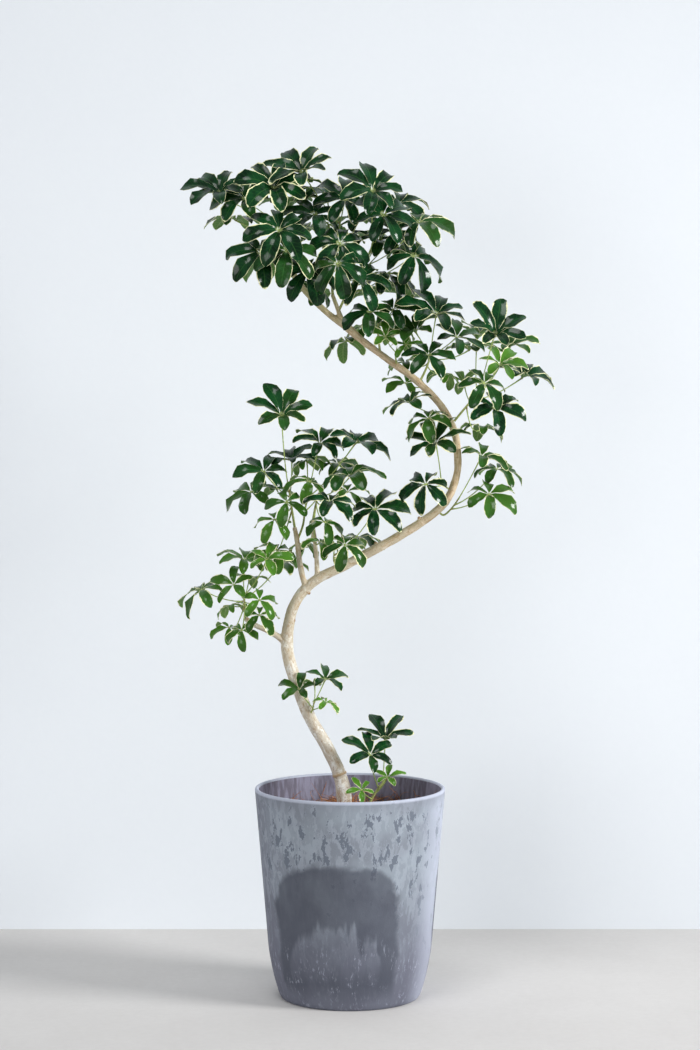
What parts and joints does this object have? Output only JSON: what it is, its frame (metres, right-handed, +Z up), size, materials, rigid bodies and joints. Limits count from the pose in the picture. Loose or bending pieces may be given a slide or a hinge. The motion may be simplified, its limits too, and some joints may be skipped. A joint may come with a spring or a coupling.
{
  "type": "potted milky schefflera",
  "caption": "Variegated dwarf umbrella tree with an S-bent bare trunk and palmate leaf clusters, standing in a tapered grey planter filled with soil and fibre mulch.",
  "frame": {"origin": "centre of the planter's flat underside, on the floor", "axes": "+Z up along the planter's axis, -Y towards the plant's front, +X to the right seen from the front"},
  "size_m": [0.7527, 0.379, 1.6909],
  "materials": {
    "planter": "matte",
    "soil": "matte",
    "fibre": "matte",
    "bark": "matte",
    "leaf": "satin"
  },
  "bodies": {
    "root": {"pot": "planter", "soil": "soil", "coconut_fibre": "fibre", "trunk": "bark", "shoot_crown_left": "leaf", "shoot_crown_top": "leaf", "shoot_crown_right": "leaf", "shoot_shoulder": "leaf", "shoot_shoulder_small": "leaf", "shoot_shoulder_left": "leaf", "shoot_bend_top": "leaf", "shoot_bend_right": "leaf", "shoot_bend_foot": "leaf", "shoot_inner_low": "leaf", "shoot_inner_high": "leaf", "shoot_behind_bend": "leaf", "shoot_heart_left": "leaf", "shoot_heart_middle": "leaf", "shoot_heart_right": "leaf", "shoot_heart_foot": "leaf", "shoot_low_branch": "leaf", "shoot_trunk_sprout": "leaf", "pot_sprout": "leaf"}
  },
  "joints": []
}
